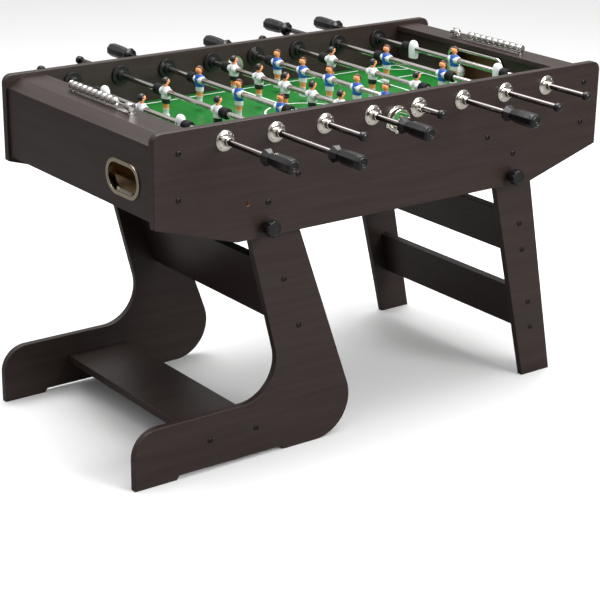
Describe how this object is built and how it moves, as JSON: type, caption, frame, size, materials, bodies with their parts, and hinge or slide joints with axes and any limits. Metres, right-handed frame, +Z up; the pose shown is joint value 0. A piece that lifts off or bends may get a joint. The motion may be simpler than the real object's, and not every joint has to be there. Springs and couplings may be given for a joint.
{
  "type": "folding foosball table",
  "caption": "Folding table football table: dark cabinet with sliding, spinning rods of men, score beads, ball returns, a curved fold-over leg frame and a splayed leg frame.",
  "frame": {"origin": "on the floor under the middle of the table's bounding box", "axes": "+X along the table from the curved leg frame to the splayed leg frame, +Y across it from the front side to the back side, +Z up"},
  "size_m": [1.255, 1.204, 0.774],
  "materials": {
    "dark_laminate": "dark brown-black laminate with a fine satin grain",
    "green_field": "green printed playfield with white lines, satin",
    "raw_board": "bare fibreboard",
    "chrome": "polished chrome",
    "rod_chrome": "polished chrome tube",
    "bolt_steel": "dark bolt heads, satin",
    "black_plastic": "black moulded plastic",
    "white_bead": "glossy white plastic beads",
    "men_white": "painted plastic figures in white shirts",
    "men_blue": "painted plastic figures in blue shirts",
    "black_grip": "black moulded grip",
    "bumper_rubber": "black ribbed rubber"
  },
  "bodies": {
    "cabinet": {"side_panel_front": "dark_laminate", "side_panel_back": "dark_laminate", "end_panels": "dark_laminate", "top_caps": "dark_laminate", "goal_walls": "dark_laminate", "playfield": "green_field", "playfield_bars": "raw_board", "ball_trays": "raw_board", "ball_return_rims": "chrome", "goal_frames": "chrome", "ball_feeders": "chrome", "bearing_flanges": "black_plastic", "bearing_bushes": "chrome", "cabinet_fasteners": "bolt_steel", "score_rails": "black_plastic"},
    "rod_slider_1": {"bumpers_1": "bumper_rubber"},
    "rod_spinner_1": {"rod_1": "rod_chrome", "men_1": "men_white", "handle_1": "black_grip"},
    "rod_slider_2": {"bumpers_2": "bumper_rubber"},
    "rod_spinner_2": {"rod_2": "rod_chrome", "men_2": "men_white", "handle_2": "black_grip"},
    "rod_slider_3": {"bumpers_3": "bumper_rubber"},
    "rod_spinner_3": {"rod_3": "rod_chrome", "men_3": "men_blue", "handle_3": "black_grip"},
    "rod_slider_4": {"bumpers_4": "bumper_rubber"},
    "rod_spinner_4": {"rod_4": "rod_chrome", "men_4": "men_white", "handle_4": "black_grip"},
    "rod_slider_5": {"bumpers_5": "bumper_rubber"},
    "rod_spinner_5": {"rod_5": "rod_chrome", "men_5": "men_blue", "handle_5": "black_grip"},
    "rod_slider_6": {"bumpers_6": "bumper_rubber"},
    "rod_spinner_6": {"rod_6": "rod_chrome", "men_6": "men_white", "handle_6": "black_grip"},
    "rod_slider_7": {"bumpers_7": "bumper_rubber"},
    "rod_spinner_7": {"rod_7": "rod_chrome", "men_7": "men_blue", "handle_7": "black_grip"},
    "rod_slider_8": {"bumpers_8": "bumper_rubber"},
    "rod_spinner_8": {"rod_8": "rod_chrome", "men_8": "men_blue", "handle_8": "black_grip"},
    "fold_frame": {"curved_legs": "dark_laminate", "fold_shelf": "dark_laminate", "fold_crossboard": "dark_laminate"},
    "splay_frame": {"splay_legs": "dark_laminate", "splay_rails": "dark_laminate"},
    "locking_knob_front_left": {"locking_knob_front_left": "black_plastic"},
    "locking_knob_back_left": {"locking_knob_back_left": "black_plastic"},
    "locking_knob_front_right": {"locking_knob_front_right": "black_plastic"},
    "locking_knob_back_right": {"locking_knob_back_right": "black_plastic"},
    "score_beads_left": {"score_beads_left": "white_bead"},
    "scored_bead_left": {"scored_bead_left": "white_bead"},
    "score_beads_right": {"score_beads_right": "white_bead"},
    "scored_bead_right": {"scored_bead_right": "white_bead"}
  },
  "joints": [
    {"name": "rod_1_slide", "type": "slide", "parent": "cabinet", "child": "rod_slider_1", "axis": [0, 1, 0], "range_m": [-0.094, 0.094]},
    {"name": "rod_1_spin", "type": "hinge", "parent": "rod_slider_1", "child": "rod_spinner_1", "pos_m": [-0.415, 0, 0.725], "axis": [0, 1, 0], "continuous": true},
    {"name": "rod_2_slide", "type": "slide", "parent": "cabinet", "child": "rod_slider_2", "axis": [0, 1, 0], "range_m": [-0.142, 0.142]},
    {"name": "rod_2_spin", "type": "hinge", "parent": "rod_slider_2", "child": "rod_spinner_2", "pos_m": [-0.29, 0, 0.725], "axis": [0, 1, 0], "continuous": true},
    {"name": "rod_3_slide", "type": "slide", "parent": "cabinet", "child": "rod_slider_3", "axis": [0, 1, 0], "range_m": [-0.087, 0.087]},
    {"name": "rod_3_spin", "type": "hinge", "parent": "rod_slider_3", "child": "rod_spinner_3", "pos_m": [-0.165, 0, 0.725], "axis": [0, 1, 0], "continuous": true},
    {"name": "rod_4_slide", "type": "slide", "parent": "cabinet", "child": "rod_slider_4", "axis": [0, 1, 0], "range_m": [-0.041, 0.041]},
    {"name": "rod_4_spin", "type": "hinge", "parent": "rod_slider_4", "child": "rod_spinner_4", "pos_m": [-0.04, 0, 0.725], "axis": [0, 1, 0], "continuous": true},
    {"name": "rod_5_slide", "type": "slide", "parent": "cabinet", "child": "rod_slider_5", "axis": [0, 1, 0], "range_m": [-0.041, 0.041]},
    {"name": "rod_5_spin", "type": "hinge", "parent": "rod_slider_5", "child": "rod_spinner_5", "pos_m": [0.085, 0, 0.725], "axis": [0, 1, 0], "continuous": true},
    {"name": "rod_6_slide", "type": "slide", "parent": "cabinet", "child": "rod_slider_6", "axis": [0, 1, 0], "range_m": [-0.087, 0.087]},
    {"name": "rod_6_spin", "type": "hinge", "parent": "rod_slider_6", "child": "rod_spinner_6", "pos_m": [0.21, 0, 0.725], "axis": [0, 1, 0], "continuous": true},
    {"name": "rod_7_slide", "type": "slide", "parent": "cabinet", "child": "rod_slider_7", "axis": [0, 1, 0], "range_m": [-0.142, 0.142]},
    {"name": "rod_7_spin", "type": "hinge", "parent": "rod_slider_7", "child": "rod_spinner_7", "pos_m": [0.335, 0, 0.725], "axis": [0, 1, 0], "continuous": true},
    {"name": "rod_8_slide", "type": "slide", "parent": "cabinet", "child": "rod_slider_8", "axis": [0, 1, 0], "range_m": [-0.094, 0.094]},
    {"name": "rod_8_spin", "type": "hinge", "parent": "rod_slider_8", "child": "rod_spinner_8", "pos_m": [0.46, 0, 0.725], "axis": [0, 1, 0], "continuous": true},
    {"name": "fold_frame_fold", "type": "hinge", "parent": "cabinet", "child": "fold_frame", "pos_m": [-0.3075, 0, 0.58], "axis": [0, 1, 0], "range_deg": [0, 90]},
    {"name": "splay_frame_fold", "type": "hinge", "parent": "cabinet", "child": "splay_frame", "pos_m": [0.3695, 0, 0.58], "axis": [0, 1, 0], "range_deg": [0, 95]},
    {"name": "locking_knob_front_left_pull", "type": "slide", "parent": "cabinet", "child": "locking_knob_front_left", "axis": [0, -1, 0], "range_m": [0, 0.03]},
    {"name": "locking_knob_back_left_pull", "type": "slide", "parent": "cabinet", "child": "locking_knob_back_left", "axis": [0, 1, 0], "range_m": [0, 0.03]},
    {"name": "locking_knob_front_right_pull", "type": "slide", "parent": "cabinet", "child": "locking_knob_front_right", "axis": [0, -1, 0], "range_m": [0, 0.03]},
    {"name": "locking_knob_back_right_pull", "type": "slide", "parent": "cabinet", "child": "locking_knob_back_right", "axis": [0, 1, 0], "range_m": [0, 0.03]},
    {"name": "score_beads_left_slide", "type": "slide", "parent": "cabinet", "child": "score_beads_left", "axis": [0, 1, 0], "range_m": [-0.035, 0]},
    {"name": "scored_bead_left_slide", "type": "slide", "parent": "cabinet", "child": "scored_bead_left", "axis": [0, 1, 0], "range_m": [0, 0.035]},
    {"name": "score_beads_right_slide", "type": "slide", "parent": "cabinet", "child": "score_beads_right", "axis": [0, 1, 0], "range_m": [0, 0.035]},
    {"name": "scored_bead_right_slide", "type": "slide", "parent": "cabinet", "child": "scored_bead_right", "axis": [0, 1, 0], "range_m": [-0.035, 0]}
  ]
}
